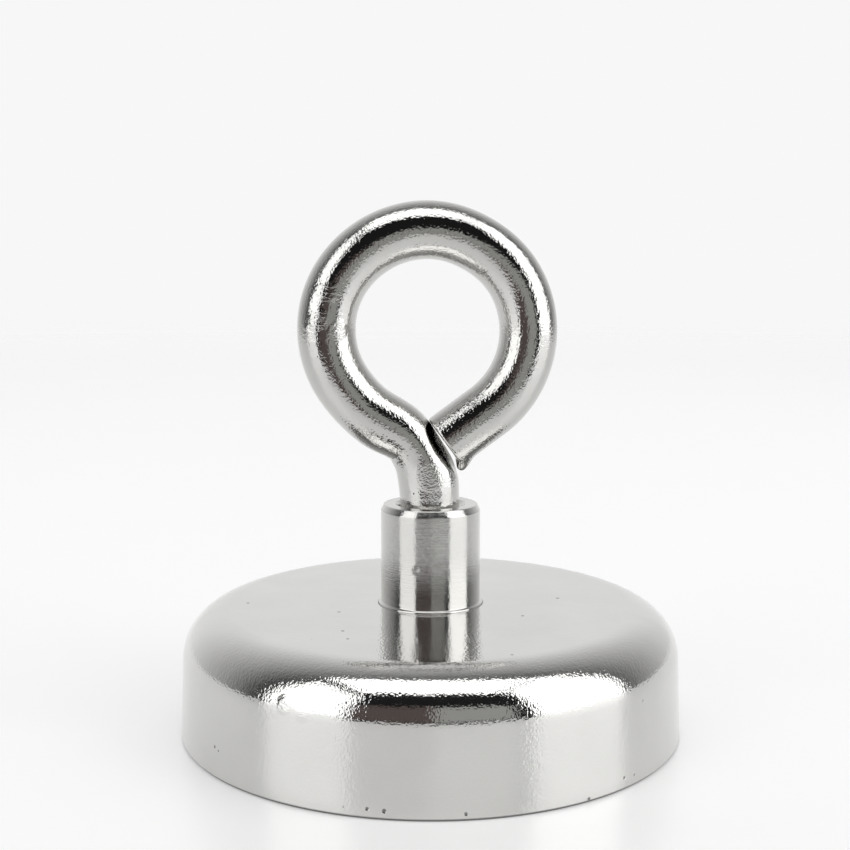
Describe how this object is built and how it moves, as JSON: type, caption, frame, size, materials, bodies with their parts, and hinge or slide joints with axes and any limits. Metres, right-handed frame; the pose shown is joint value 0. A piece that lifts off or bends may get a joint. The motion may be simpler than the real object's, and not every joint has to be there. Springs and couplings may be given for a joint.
{
  "type": "magnet fishing magnet",
  "caption": "Single-sided round pot magnet with a threaded centre boss and a screw-in eye bolt for a rope.",
  "frame": {"origin": "centre of the round working face, on the plane of the steel rim", "axes": "+Z from the working face up through the boss to the eye; the eye lies in the XZ plane, so its hole runs along Y"},
  "size_m": [0.075, 0.075, 0.079],
  "materials": {
    "nickel_pot": "satin",
    "nickel_boss": "satin",
    "nickel_eye": "satin",
    "nickel_magnet": "satin",
    "clear_adhesive": "gloss",
    "black_resin": "gloss",
    "blue_threadlock": "satin"
  },
  "bodies": {
    "magnet_body": {"pot_shell": "nickel_pot", "threaded_boss": "nickel_boss", "magnet_disc": "nickel_magnet", "magnet_adhesive": "clear_adhesive", "potting_resin": "black_resin"},
    "thread_lock": {"thread_lock_bead": "blue_threadlock"},
    "eye_bolt": {"eye_bolt": "nickel_eye"}
  },
  "joints": [
    {"name": "eye_bolt_rise", "type": "slide", "parent": "magnet_body", "child": "thread_lock", "axis": [0, 0, 1], "range_m": [0, 0.01837]},
    {"name": "eye_bolt_turn", "type": "hinge", "parent": "thread_lock", "child": "eye_bolt", "pos_m": [0, 0, 0.03], "axis": [0, 0, 1], "range_deg": [0, 4410]}
  ],
  "couplings": [
    {"joint": "eye_bolt_rise", "follows": "eye_bolt_turn", "m_per_rad": 0.00023873}
  ]
}
